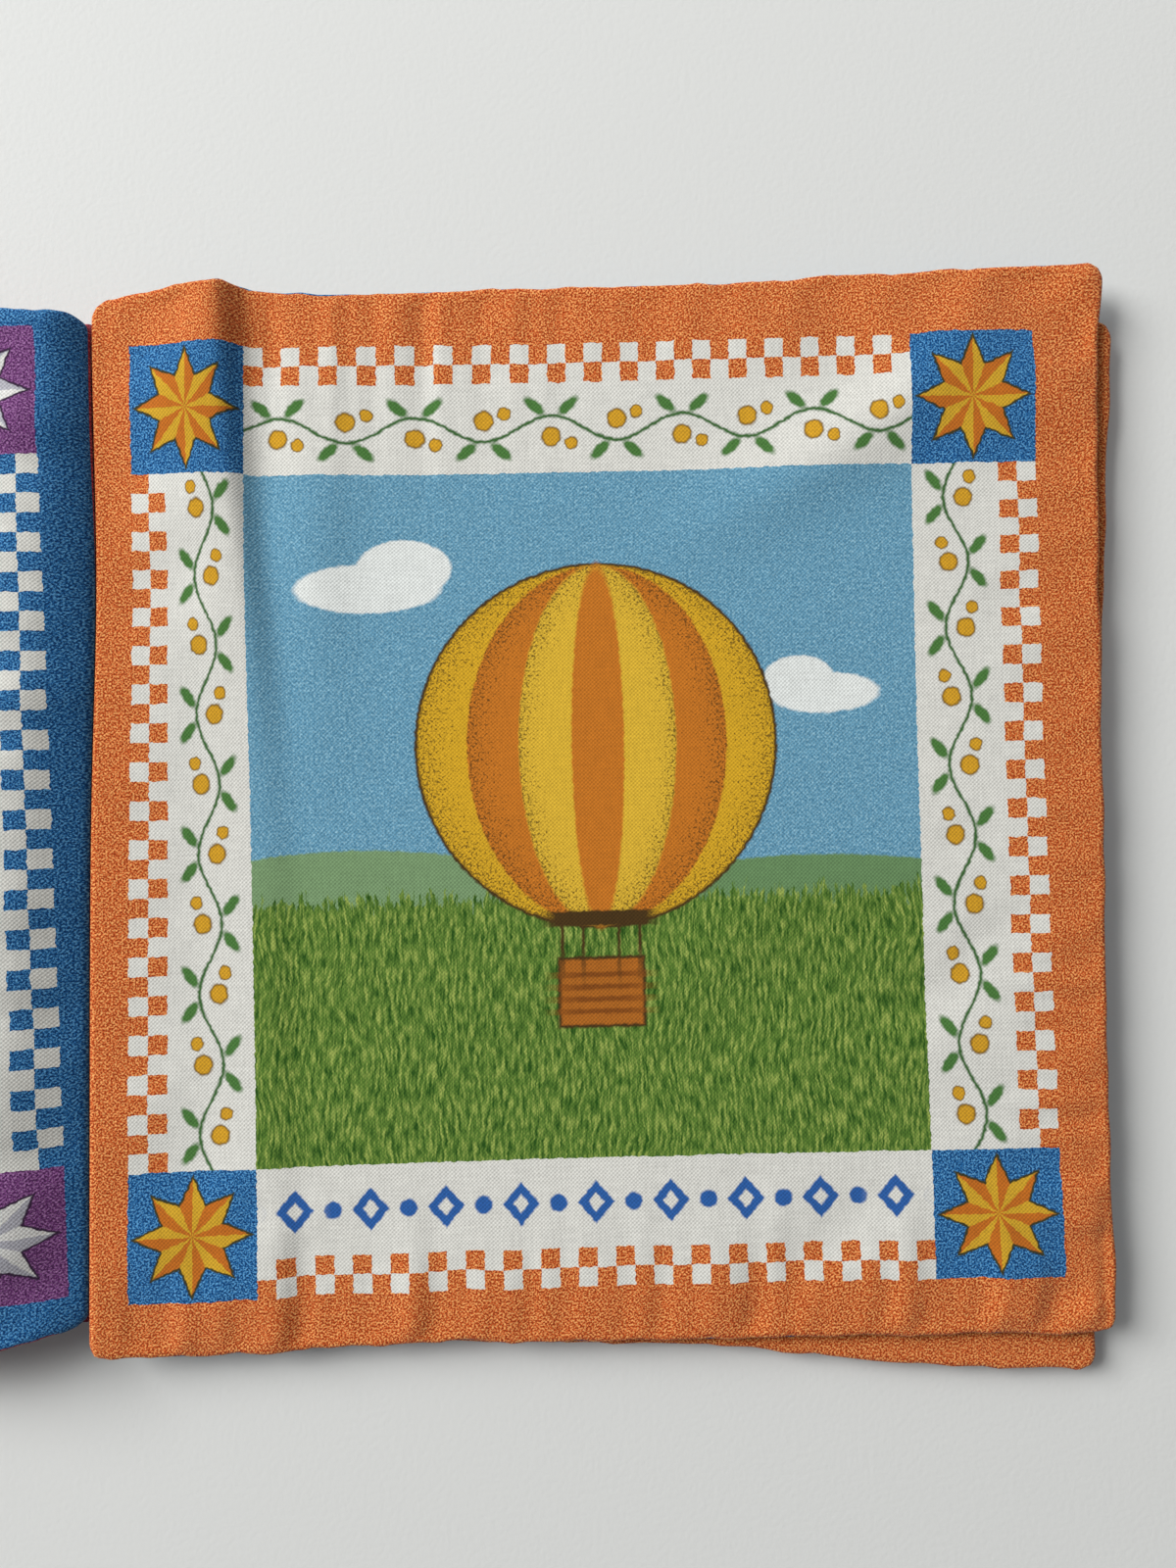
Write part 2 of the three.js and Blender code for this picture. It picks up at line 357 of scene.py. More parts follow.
# Topmost right leaf: its ridge, the dips of its edges, and how its print lies off square
RIDGE = {"height": 4.4, "start": 1, "peak": 23, "crest": 4, "slant": 8, "flank": 6.8, "tail": 48,
         "flank_share": 0.9, "foot_share": 0.15, "fade_from": -15, "taken_up": 2.4}
BESIDE_RIDGE = ((14, 18), (36, 60))
HEAD_DIPS = ((3.8, 0, 11), (1.0, 14, 9), (1.9, 54, 26), (1.5, 112, 40))
FOOT_DIPS = ((0.9, 64, 24), (0.9, 5, 16))
PRINT_SKEW = (0.26, -0.11, -0.46, -0.54)
SKEW_HALF = (78, 80)
SKEW_INSET = 10
HEAD_SAG = {"depth": 1.1, "slant": 0.4, "middle": 64, "width": 18}
FORE_CORNER = (1.2, HALF_HEIGHT, 14)
FORE_FOOT = {"depth": 0.6, "width": 60}
GUTTER_SHIFT = {"reach": 0.4, "width": 20}

# Seams that have rolled off the rim of the two open leaves, in radians
HEAD_ROLL = (1.0, 46, 15)
FOOT_ROLL = {"angle": 0.9, "start": (2, 4), "end": (60, 30)}
GUTTER_ROLL = {"angle": 0.75, "start": (35, 45), "end": (0.5, 1.5)}

# Soft folds of the two open leaves. Flutes beside an edge: height, period, seed, middle and spread along
# the edge, and middle and spread inward. Single folds: height, middle, run, width and length.
FLUTES = {
    TOP_LEFT: {"gutter": (0.4, 26, 15, 0, math.inf, 16, 14)},
    TOP_RIGHT: {"head": (0.5, 9.5, 7, 60, 36, 0, 30), "fore": (0.4, 11, 9, -62, 42, 0, 22),
                "foot": (0.4, 12, 12, 0, math.inf, 0, 20)},
}
SINGLE_FOLDS = {TOP_RIGHT: [(1.6, (150, 72), (0.86, 0.5), 8, 30), (0.9, (46, 62), (0, 1), 6, 40)]}


def ease(position, start, width):
    """0 up to the start, 1 beyond the width, and smooth between them"""
    share = np.clip((position - start) / width, 0, 1)
    return share * share * (3 - 2 * share)


def bump(position, height, middle, width):
    return height * np.exp(-((position - middle) / width) ** 2)


def edge_distance(u, v):
    return np.minimum(np.minimum(u, PAGE_WIDTH - u), HALF_HEIGHT - np.abs(v))


def edge_wave(edge, along, number):
    height, period, seed = EDGE_WAVES[edge]
    return height * waver(along, period, seed + number)


def near_ends(v):
    """1 at the head and 1 at the foot, each fading to 0 inside the page"""
    return [ease(up * v, HALF_HEIGHT - EDGE_ZONE, EDGE_ZONE) for up in (1, -1)]


def cut_in(number, u, v):
    """How far the seam at head and foot runs inside the plain rectangle"""
    head, foot = near_ends(v)
    if number == TOP_RIGHT:
        head_dip, foot_dip = (sum(bump(u, *dip) for dip in dips) for dips in (HEAD_DIPS, FOOT_DIPS))
        return foot * foot_dip - head * head_dip
    if number in FOOT_DRAWN:
        more, start, width = FOOT_STEP
        return foot * (FOOT_DRAWN[number] + more * (1 - ease(u, start, width)))
    drawn = [depth * (1 - ease(u, 0, width)) for depth, width in GUTTER_TAPER]
    return -np.where(v > 0, *drawn) * (v / HALF_HEIGHT) ** 3


def page_outline(number, u, v):
    """Where a point of the flat page lies: u from the gutter to the fore edge, v up the spine"""
    leaf = LEAVES[number]
    from_middle = u - PAGE_WIDTH / 2
    straight_u, straight_v = PAGE_WIDTH / 2 - CORNER, HALF_HEIGHT - CORNER
    p = np.maximum(np.abs(from_middle) - straight_u, 0) / CORNER
    q = np.maximum(np.abs(v) - straight_v, 0) / CORNER
    in_corner = (p > 0) & (q > 0)
    reach = straight_u + CORNER * p * np.sqrt(1 - q * q / 2)
    climb = straight_v + CORNER * q * np.sqrt(1 - p * p / 2)
    across = np.where(in_corner, PAGE_WIDTH / 2 + np.sign(from_middle) * reach, u)
    along = np.where(in_corner, np.sign(v) * climb, v)

    head, foot = near_ends(v)
    fore = ease(u, PAGE_WIDTH - EDGE_ZONE, EDGE_ZONE)
    rim = 1 - ease(edge_distance(u, v), 0, RIM_WIDTH)
    bow = bump(v, *GUTTER_BOW)
    share_u, share_v = across / PAGE_WIDTH, along / HALF_HEIGHT
    x = across - DRAWN_IN * share_u * (1 - share_v ** 2)
    y = along - DRAWN_IN * share_v * (1 - (2 * share_u - 1) ** 2)
    x = x + fore * edge_wave("fore", v, number)
    y = y + head * edge_wave("head", u, number) + foot * edge_wave("foot", u, number)
    y = y + rim * edge_wave("rim", u, number) + cut_in(number, u, v)
    if number == TOP_RIGHT:
        inner = ease(edge_distance(u, v), 0, SKEW_INSET)
        to_fore, to_head = from_middle / SKEW_HALF[0], v / SKEW_HALF[1]
        even, wide, tall, twist = PRINT_SKEW
        x = x + inner * (even + wide * to_fore + tall * to_head + twist * to_fore * to_head)
        sag = HEAD_SAG["depth"] + HEAD_SAG["slant"] * to_fore
        y = y - inner * bump(v, sag, HEAD_SAG["middle"], HEAD_SAG["width"])
        at_fore = bump(v, *FORE_CORNER) - FORE_FOOT["depth"] * ease(-v, 0, FORE_FOOT["width"])
        x = x + (1 - inner) * fore * at_fore
        x = x + (1 - ease(u, 0, GUTTER_SHIFT["width"])) * (GUTTER_SHIFT["reach"] + bow)
        beside_ridge = ease(u, *BESIDE_RIDGE[0]) - ease(u, *BESIDE_RIDGE[1])
        x = x - RIDGE["taken_up"] * ease(v, -HALF_HEIGHT, PAGE_HEIGHT) * beside_ridge
    if number in LIP:
        x = x - LIP[number] * (1 - ease(u, 0, LIP_WIDTH))
        x = x - (LIP_EDGE + bow) * (1 - ease(u, 0, LIP_EDGE_WIDTH))
    rise, turn = math.tan(math.radians(leaf["rise"])), math.tan(math.radians(leaf["turn"]))
    return x + share_u * y * turn, y + x * rise + leaf["slip"]


def leaf_half(number, u, v):
    """Half the leaf's thickness inside its round edge, swelling to the full wadding"""
    swell = EDGE_HALF + (CROWN_HALF - EDGE_HALF) * ease(edge_distance(u, v), 0, SWELL_WIDTH)
    thin = LEAVES[number]["gutter"][1]
    return thin + (swell - thin) * ease(u, 0, DIP_WIDTH[LEAVES[number]["side"]])


def seam_roll(number, u, v):
    """How far the seam has rolled off the leaf's rim, in radians towards its front face"""
    if number == TOP_RIGHT:
        return bump(u, *HEAD_ROLL) * (v > 0)
    if number == TOP_LEFT:
        at_foot = (v < 0) * ease(u, *FOOT_ROLL["start"]) * (1 - ease(u, *FOOT_ROLL["end"]))
        at_gutter = ease(v, *GUTTER_ROLL["start"]) * (1 - ease(u, *GUTTER_ROLL["end"]))
        return -FOOT_ROLL["angle"] * at_foot - GUTTER_ROLL["angle"] * at_gutter
    return np.zeros_like(u)


def turned_edge(number, face, u, v, depth):
    """Inset from the edge and lift of a cloth, depth below its outer side, round the turned edge"""
    roll = seam_roll(number, u, v)
    share = np.clip(edge_distance(u, v) / EDGE_ROLL, 0, 1)
    up = 1 if face == "front" else -1
    seam = roll + up * SEAM_LINE
    angle = seam + (up * math.pi / 2 - seam) * share
    inset = EDGE_ROLL - (EDGE_ROLL - depth) * np.cos(angle)
    half = leaf_half(number, u, v) - depth
    return inset, half * np.sin(angle)


def pulled_in(u, v, inset):
    """Page place of a point near an edge once the cloth has gone round that edge"""
    near_u, near_v = np.minimum(u, PAGE_WIDTH - u), HALF_HEIGHT - np.abs(v)
    new_u = np.where(near_u < EDGE_ROLL, inset, near_u)
    new_v = np.where(near_v < EDGE_ROLL, inset, near_v)
    return np.where(u < PAGE_WIDTH / 2, new_u, PAGE_WIDTH - new_u), np.sign(v) * (HALF_HEIGHT - new_v)


def leaf_middle(number, u, v):
    """Height of the leaf's middle over the table"""
    leaf = LEAVES[number]
    flat = FULL_HALF + leaf["level"] * LEAF_PITCH
    if leaf["side"] < 0:
        down = 1 - ease(v, -HALF_HEIGHT, PAGE_HEIGHT)
        hump = {name: at + (HUMP_FOOT[name] - at) * down for name, at in HUMP_HEAD.items()}
        flat = flat + bump(u, hump["height"] * leaf["level"] / TOP_LEVEL, hump["middle"], hump["width"])
        climb = 1 - (1 - np.clip(u / hump["dip"], 0, 1)) ** (HUMP_CLIMB[0] + HUMP_CLIMB[1] * down)
    else:
        climb = ease(u, 0, DIP_WIDTH[1])
    height = leaf["gutter"][0] + (flat - leaf["gutter"][0]) * climb
    if number == TOP_RIGHT:
        fade = ease(v, RIDGE["fade_from"], HALF_HEIGHT - RIDGE["fade_from"])
        peak = RIDGE["peak"] + RIDGE["slant"] * (1 - fade)
        climb = ease(u, RIDGE["start"], peak - RIDGE["start"])
        steep = ease(u, peak + RIDGE["crest"], RIDGE["flank"])
        gentle = ease(u, peak + RIDGE["crest"], RIDGE["tail"])
        fall = 1 - RIDGE["flank_share"] * steep - (1 - RIDGE["flank_share"]) * gentle
        share = RIDGE["foot_share"]
        height = height + RIDGE["height"] * climb * fall * (share + (1 - share) * fade)
    return height


def open_rumples(number, u, v):
    """Soft folds that only the two leaves lying open and free on top have"""
    runs = {"head": (u, HALF_HEIGHT - v), "fore": (v, PAGE_WIDTH - u),
            "foot": (u, HALF_HEIGHT + v), "gutter": (v, u)}
    folds = np.zeros_like(u)
    for edge, (height, period, seed, middle, spread, inside, reach) in FLUTES[number].items():
        along, inward = runs[edge]
        waves = height * waver(along, period, seed) * bump(along, 1, middle, spread)
        folds += waves * bump(inward, 1, inside, reach)
    for height, middle, (run_u, run_v), width, length in SINGLE_FOLDS.get(number, []):
        off_u, off_v = u - middle[0], v - middle[1]
        crest = bump(off_u * run_v - off_v * run_u, height, 0, width)
        folds += crest * bump(off_u * run_u + off_v * run_v, 1, 0, length)
    return folds * ease(edge_distance(u, v), 0, EDGE_FADE)


def leaf_point(number, u, v, lift):
    """World place in millimetres; lift is measured from the leaf's middle towards its front face"""
    leaf = LEAVES[number]
    x, y = page_outline(number, u, v)
    z = leaf_middle(number, u, v) + leaf["side"] * lift
    return np.stack([leaf["side"] * (GUTTER + x), y, z], axis=1)


def stations(length, pitch, bend=0.0):
    """Stations from edge to edge, closer at the round edges and in the strip that bends"""
    bending = np.concatenate([EDGE_STATIONS[:5], np.arange(BEND_FROM, bend + 1, BEND_STEP)])
    near = bending if bend else EDGE_STATIONS
    count = max(2, round((length - near[-1]) / pitch))
    inner = np.linspace(near[-1] + pitch / 2, length - FAR_STATION, count)
    return np.concatenate([near, inner, length - EDGE_STATIONS[::-1]])


def leaf_stations(number, pitch):
    """Stations from gutter to fore edge and from foot to head"""
    bend = LEAVES[number]["bend"] + LIP.get(number, 0)
    return stations(PAGE_WIDTH, pitch, bend), stations(PAGE_HEIGHT, pitch) - HALF_HEIGHT


def layer_grid(columns, rows):
    """A flat closed layer of two sides, with the column, row and side of each of its vertices"""
    bm = bmesh.new()
    bmesh.ops.create_grid(bm, x_segments=columns - 1, y_segments=rows - 1, size=1)
    grown = bmesh.ops.extrude_face_region(bm, geom=bm.faces[:])
    outer = {item for item in grown["geom"] if isinstance(item, bmesh.types.BMVert)}
    places = np.array([((vert.co.x + 1) / 2, (vert.co.y + 1) / 2) for vert in bm.verts])
    column = np.rint(places[:, 0] * (columns - 1)).astype(int)
    row = np.rint(places[:, 1] * (rows - 1)).astype(int)
    return bm, column, row, np.array([vert in outer for vert in bm.verts])


def sewn_layer(number, name, us, vs, material, shape, mirrored=False):
    """A closed layer of a leaf over a grid of stations; shape gives the place of its two sides"""
    bm, column, row, is_outer = layer_grid(len(us), len(vs))
    u, v = us[column], vs[row]
    page_map = bm.loops.layers.uv.new("page")
    reader = (PAGE_WIDTH - u if mirrored else u) / PAGE_WIDTH
    bm.verts.index_update()
    spots = np.stack([reader, (v + cut_in(number, u, v)) / PAGE_HEIGHT + 0.5], axis=1)
    for face in bm.faces:
        for loop in face.loops:
            loop[page_map].uv = spots[loop.vert.index]
    for vert, at in zip(bm.verts, shape(u, v, is_outer) * MM):
        vert.co = at
    return piece_from(name, bm, material)


def bend_with_leaf(piece):
    """Bakes the piece's world placement into its mesh"""
    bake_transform(piece)


# Seam puckers
# A turned seam is a little shorter than the cloth it holds, so the cloth ripples beside it. One filled
# leaf is puffed up as cloth, with its seam drawn short, and its ripples are laid on all the leaves.
PUFF_STEP = 2.6
PUFF_FRAMES = 20
PUFF_UNIT = 0.01
PUFF_START = (0.25, 1.25)
PUFF_RISE = 12
PUFF_UNEVEN = 0.02
PUFF_SEED = 3
PUFF_COTTON = {"quality": 6, "mass": 0.2, "tension_stiffness": 15, "compression_stiffness": 15,
               "shear_stiffness": 5, "bending_stiffness": 3, "air_damping": 1, "use_pressure": True,
               "uniform_pressure_force": 1, "vertex_group_shrink": "seam", "shrink_max": 0.03}
SEAM_REACH = 3
BLUR_ROUNDS = 40
CORNER_STATIONS = 6
PUCKER_SHARE = 0.38
PUCKER_CAP = 0.6
GUTTER_FADE = 15


def puffed_leaf(columns, rows):
    """Height of the puffed leaf's front at each station of its grid, in millimetres"""
    bm, column, row, is_front = layer_grid(columns, rows)
    across, along = column / (columns - 1) * PAGE_WIDTH, row / (rows - 1) * PAGE_HEIGHT - HALF_HEIGHT
    from_edge = edge_distance(across, along)
    height = PUFF_START[0] + (PUFF_START[1] - PUFF_START[0]) * np.clip(from_edge / PUFF_RISE, 0, 1)
    uneven = np.random.default_rng(PUFF_SEED).normal(0, PUFF_UNEVEN, len(column))
    height = np.where(is_front, height, -height) + uneven
    for vert, at in zip(bm.verts, np.stack([across, along, height], axis=1) * PUFF_UNIT):
        vert.co = at
    leaf = piece_from("puffed_leaf", bm, None)
    seam = leaf.vertex_groups.new(name="seam")
    for index in np.flatnonzero(from_edge < SEAM_REACH):
        seam.add([int(index)], 1 - from_edge[index] / SEAM_REACH, "REPLACE")
    cotton = leaf.modifiers.new("cotton", "CLOTH")
    cotton.point_cache.frame_end = PUFF_FRAMES
    for name, value in PUFF_COTTON.items():
        setattr(cotton.settings, name, value)
    cotton.settings.effector_weights.gravity = 0
    for frame_number in range(1, PUFF_FRAMES + 1):
        bpy.context.scene.frame_set(frame_number)
    puffed = leaf.evaluated_get(bpy.context.evaluated_depsgraph_get()).data
    heights = np.zeros((rows, columns))
    for vert, at_row, at_column, front in zip(puffed.vertices, row, column, is_front):
        if front:
            heights[at_row, at_column] = vert.co.z / PUFF_UNIT
    bpy.context.scene.frame_set(1)
    bpy.data.meshes.remove(leaf.data)
    return heights


def blurring(count):
    """Matrix that blurs a row of stations along its run"""
    once = np.eye(count) / 2 + np.eye(count, k=1) / 4 + np.eye(count, k=-1) / 4
    once[0, 0] = once[-1, -1] = 0.75
    return np.linalg.matrix_power(once, BLUR_ROUNDS)


def ripple_field():
    """What the puffed leaf has beyond its smooth crown, taken along the nearest seam"""
    columns, rows = round(PAGE_WIDTH / PUFF_STEP) + 1, round(PAGE_HEIGHT / PUFF_STEP) + 1
    heights = puffed_leaf(columns, rows)
    row, column = np.mgrid[0:rows, 0:columns]
    to_side, to_end = np.minimum(column, columns - 1 - column), np.minimum(row, rows - 1 - row)
    near_end = np.clip((to_side - to_end) / CORNER_STATIONS + 0.5, 0, 1)
    beside_end = heights - heights @ blurring(columns)
    beside_side = heights - blurring(rows) @ heights
    ripples = near_end * beside_end + (1 - near_end) * beside_side
    return np.clip(PUCKER_SHARE * ripples, -PUCKER_CAP, PUCKER_CAP)


ripples = ripple_field()


def seam_puckers(number, face, u, v):
    """Ripples of one cloth, read from the puffed leaf turned one way or another"""
    rows, columns = ripples.shape
    at_u, at_v = u / PAGE_WIDTH, v / PAGE_HEIGHT + 0.5
    at_u = (1 - at_u if number % 2 == 0 else at_u) * (columns - 1)
    at_v = (1 - at_v if face == "front" else at_v) * (rows - 1)
    column, row = np.minimum(at_u.astype(int), columns - 2), np.minimum(at_v.astype(int), rows - 2)
    share_u, share_v = at_u - column, at_v - row
    lower = ripples[row, column] * (1 - share_u) + ripples[row, column + 1] * share_u
    upper = ripples[row + 1, column] * (1 - share_u) + ripples[row + 1, column + 1] * share_u
    fade = ease(edge_distance(u, v), 0, EDGE_FADE) * ease(u, 0, GUTTER_FADE)
    return (lower * (1 - share_v) + upper * share_v) * fade


# Wadding
# Thin bonded polyester, cut a little smaller than the page, between the two cottons of each leaf.
# Its fibres lie every way, so it is white and cloudy, and it fills the leaf but not its turned edge.
WADDING_INSET = 9
WADDING_STEP = 2.6
WADDING_GAP = 0.3
WADDING_INKS = ("#d9d6cc", "#f1efe8")
CLOUD = 20 / 3
HAIR = 5 / 6
HAIR_RELIEF = (0.8, 0.3 * MM)
OPEN_SIDES = {(TOP_RIGHT, "front"), (TOP_LEFT, "back")}
PRESSED_SHARE = 0.15


def cloth_ripple(number, face, u, v):
    """How far one cloth of a leaf stands out from its smooth shape"""
    if (number, face) in OPEN_SIDES:
        return seam_puckers(number, face, u, v) + open_rumples(number, u, v)
    return PRESSED_SHARE * seam_puckers(number, face, u, v)


def bonded_wadding():
    """Felted fibre: dull white with cloudy lumps and fine crossing hairs"""
    material, tree, place = new_stuff("polyester_wadding")
    cloud = add_node(tree, "TexNoise", place, 1 / CLOUD, 4.0, 0.6)
    hair = add_node(tree, "TexNoise", place, 1 / HAIR, 5.0, 0.8)
    colour = add_node(tree, "Mix RGBA", cloud, *map(linear, WADDING_INKS))
    relief = add_node(tree, "Bump", *HAIR_RELIEF, None, hair)
    return surface(material, {"Base Color": colour, "Normal": relief, "Roughness": 1.0})


wadding_stuff = bonded_wadding()
for number in LEAVES:
    us, vs = leaf_stations(number, WADDING_STEP)
    us = us[(us > WADDING_INSET) & (us < PAGE_WIDTH - WADDING_INSET)]
    vs = vs[np.abs(vs) < HALF_HEIGHT - WADDING_INSET]

    def wadding_shape(u, v, is_outer):
        inside = leaf_half(number, u, v) - CLOTH - WADDING_GAP
        front = inside + cloth_ripple(number, "front", u, v)
        back = inside + cloth_ripple(number, "back", u, v)
        return leaf_point(number, u, v, np.where(is_outer, front, -back))

    pad = sewn_layer(number, f"leaf_{number}_wadding_pad", us, vs, wadding_stuff, wadding_shape)
    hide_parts(f"leaf_{number}_wadding")
    bend_with_leaf(pad)

# Printed cloths
# Plain-weave cotton printed on one side: a heathered border, a frame of two rows of checks with a
# patchwork star in each corner, a white band with a trailing vine, and a picture panel.
FRAME_HALF = (90.3, 93.35)
CORNER_SQUARE = 25
CHECK = 3.8
CHECK_COUNT = 36
BAND_MIDDLE = 16.4
INK_EDGE = 0.22
INK_CREEP = 0.7
CREEP_REPEAT = 10 / 9
COTTON_WHITE = "#e6e5dd"
CORNER_DYES = {"orange": "blue", "blue": "purple", "crimson": "blue", "green": "crimson", "purple": "green"}
STAR_INKS = {
    "blue": ("#c9701f", "#d8a92c", "#3b3a20"),
    "purple": ("#bdbcc4", "#ecebe6", "#3a2140"),
    "crimson": ("#c9701f", "#d8a92c", "#3c1216"),
    "green": ("#d0cfc4", "#efece2", "#1f3a1c"),
}
STAR_TIP = 11.3
STAR_VALLEY = 6.4
HALF_POINT = math.pi / 8
STAR_RIM = (0.97, 1.06)
STAR_EDGE = 0.02
PANEL_STOPS = (0.33, 0.68)
SKY_GRAIN = 0.5
FIELD_GRAIN = 0.6
BLADE_LONG = 0.16
SWAY = 5.0
SWAY_REPEAT = 20
GRASS_TIPS = 14
GRASS_EDGE = 0.4
MEADOW = ("#47702a", "#7d9c42", "#b4c56c")
STIPPLE = 0.5
STIPPLED_FROM = 10
STIPPLE_INK = "#4a3412"
STIPPLE_REACH = 0.55
STIPPLE_STOPS = (1.04, 1.1)
STIPPLE_COVER = 0.75
CAPTION_COUNT = 9
CAPTION_INK = "#2d62ab"
CAPTION_DOT = (1.7, 1.7)
LOZENGE_HALF = (3.6, 4.2)
LOZENGE_HOLE = 0.42
LOZENGE_EDGE = 0.06
VINE_BENDS = 10
VINE_CELL = 13
VINE_SWING = 2.4
VINE_STEM = 0.35
VINE_INKS = {"stem": "#3f6a35", "leaf": "#4d7d3c", "rim": "#7d5a14", "berry": "#dba427"}
VINE_LEAF_HALF = (2.4, 1.05)
VINE_LEAVES = (((3.2, 4.3), 0.7), ((9.8, 4.3), -0.7))
VINE_BERRIES = (((6.5, -1.6), 1.7), ((10.4, -2.9), 1.15))
BERRY_RIM = (0.95, 1.15)
DOT_EDGE = 0.12

# Picture panels: shapes laid one over the other, with ink, middle and half size in millimetres
PICTURES = {
    "balloon": {
        "sky": ("#5189a8", "#6ba3bf", "#97c6da"),
        "field": ("#24510f", "#5f8331", "#a3b558"), "horizon": -17,
        "far": [
            ("round", "#eef2ee", (-42, 45), (14, 5)), ("round", "#eef2ee", (-35, 49), (9, 6)),
            ("round", "#eef2ee", (47, 22), (11, 4)), ("round", "#eef2ee", (42, 25), (7, 4.5)),
            ("round", "#7fa072", (-46, -26), (52, 19)), ("round", "#6c9160", (44, -30), (60, 20)),
        ],
        "shapes": [
            ("square", "#4a3412", (2, -36), (8.6, 7)), ("square", "#b56a20", (2, -36), (8, 6.4)),
            *[("square", "#8a4c14", (2, y), (8, 0.5)) for y in (-32.6, -35, -37.4, -39.8)],
            *[("square", "#4a3412", (x, -25), (0.35, 6)) for x in (-5.6, 9.6)],
            *[("square", "#4a3412", (x, -25), (0.3, 6)) for x in (-1.5, 5.5)],
            ("round", "#4a3412", (2, 13), (35.5, 36.5)), ("round", "#dfae26", (2, 13), (34.9, 35.9)),
            ("round", "#cf7a22", (2, 13), (25.5, 35.9)), ("round", "#e6bb38", (2, 13), (15.5, 35.9)),
            ("round", "#cf7a22", (2, 13), (5.2, 35.9)), ("square", "#4a3412", (2, -21.5), (10.5, 1.5)),
        ],
    },
    "boat": {
        "sky": ("#6496b0", "#80adc3", "#a6cad8"),
        "field": ("#1f5c8f", "#3f86b8", "#8cc0dc"), "horizon": -22,
        "shapes": [
            ("round", "#e3b52c", (40, 42), (12, 12)), ("square", "#5a3a1a", (0, 5), (0.9, 36)),
            ("peak", "#efefe8", (16, 8), (15, 30)), ("peak", "#c9402f", (-13, 4), (12, 26)),
            ("square", "#8a4a1e", (0, -33), (34, 6)), ("square", "#c9402f", (0, -30), (34, 1.4)),
        ],
    },
    "tree": {
        "sky": ("#a9d0dc", "#c0dfe6", "#dceff0"), "field": MEADOW, "horizon": -20,
        "shapes": [
            ("square", "#6b4420", (0, -22), (6, 22)), ("round", "#3f7030", (0, 20), (38, 33)),
            ("round", "#5b8f3e", (-6, 25), (28, 24)),
            *[("round", "#c23326", at, (4, 4))
              for at in ((-18, 30), (12, 38), (20, 10), (-6, 8), (-26, 6))],
        ],
    },
    "house": {
        "sky": ("#b7b0d0", "#cdc6de", "#e4deee"), "field": MEADOW, "horizon": -26,
        "shapes": [
            ("square", "#e8dcbc", (0, -14), (30, 22)), ("peak", "#b5382c", (0, 26), (40, 19)),
            ("square", "#3f6a94", (0, -22), (7, 14)), ("square", "#8cc0dc", (-18, -8), (6, 6)),
            ("square", "#8cc0dc", (18, -8), (6, 6)), ("round", "#e3b52c", (-44, 48), (9, 9)),
        ],
    },
    "kite": {
        "sky": ("#e6d9a6", "#f0e6bf", "#f8f2da"), "field": MEADOW, "horizon": -44,
        "shapes": [
            ("diamond", "#2f6aa6", (4, 16), (30, 40)), ("diamond", "#c9402f", (4, 16), (22, 30)),
            ("diamond", "#e3b52c", (4, 16), (11, 15)), ("square", "#4a3412", (4, -34), (0.5, 12)),
            ("diamond", "#2f6aa6", (4, -28), (7, 3)), ("diamond", "#c9402f", (4, -38), (7, 3)),
        ],
    },
}
FACES = {
    (1, "front"): ("blue", "balloon"), (1, "back"): ("green", "tree"),
    (2, "front"): ("crimson", "house"), (2, "back"): ("purple", "kite"),
    (3, "front"): ("blue", "boat"), (3, "back"): ("orange", "tree"),
    (4, "front"): ("crimson", "kite"), (4, "back"): ("green", "house"),
    (5, "front"): ("crimson", "tree"), (5, "back"): ("blue", "boat"),
    (6, "front"): ("orange", "balloon"), (6, "back"): ("blue", "kite"),
    (7, "front"): ("orange", "house"), (7, "back"): ("crimson", "boat"),
    (8, "front"): ("green", "kite"), (8, "back"): ("orange", "tree"),
}
PRINT_TILT = {(TOP_LEFT, "back"): 1.65}
PRINT_SHIFT = {(TOP_LEFT, "back"): 1.9}
PRINT_MIDDLE = (97.7, 104.5)
FINE_STEP = 1.6
COARSE_STEP = 3.2


def ink(tree, ground, colour, distance, reach, edge):
    """Lays a colour over the ground where the distance is under its reach, with a soft edge"""
    cover = add_node(tree, "MapRange", distance, reach - edge, reach + edge, 1.0, 0.0)
    return add_node(tree, "Mix RGBA", cover, ground, colour)


def shape_distance(tree, place, form, middle, half):
    """Distance from a printed shape's middle, counted so that 1 is on its edge"""
    scale = (1 / half[0], 1 / half[1], 0)
    shift = (-middle[0] / half[0], -middle[1] / half[1], 0)
    at = add_node(tree, "VectorMath MULTIPLY_ADD", place, scale, shift)
    if form == "round":
        return add_node(tree, "VectorMath LENGTH", at)
    x, y, _ = add_node(tree, "SeparateXYZ", at).node.outputs
    wide = add_node(tree, "Math ABSOLUTE", x)
    tall = add_node(tree, "Math ABSOLUTE", y)
    if form == "square":
        return add_node(tree, "Math MAXIMUM", wide, tall)
    if form == "diamond":
        return add_node(tree, "Math ADD", wide, tall)
    slope = add_node(tree, "Math MULTIPLY_ADD", wide, 2.0, y)
    foot = add_node(tree, "Math MULTIPLY", y, -1.0)
    return add_node(tree, "Math MAXIMUM", slope, foot)


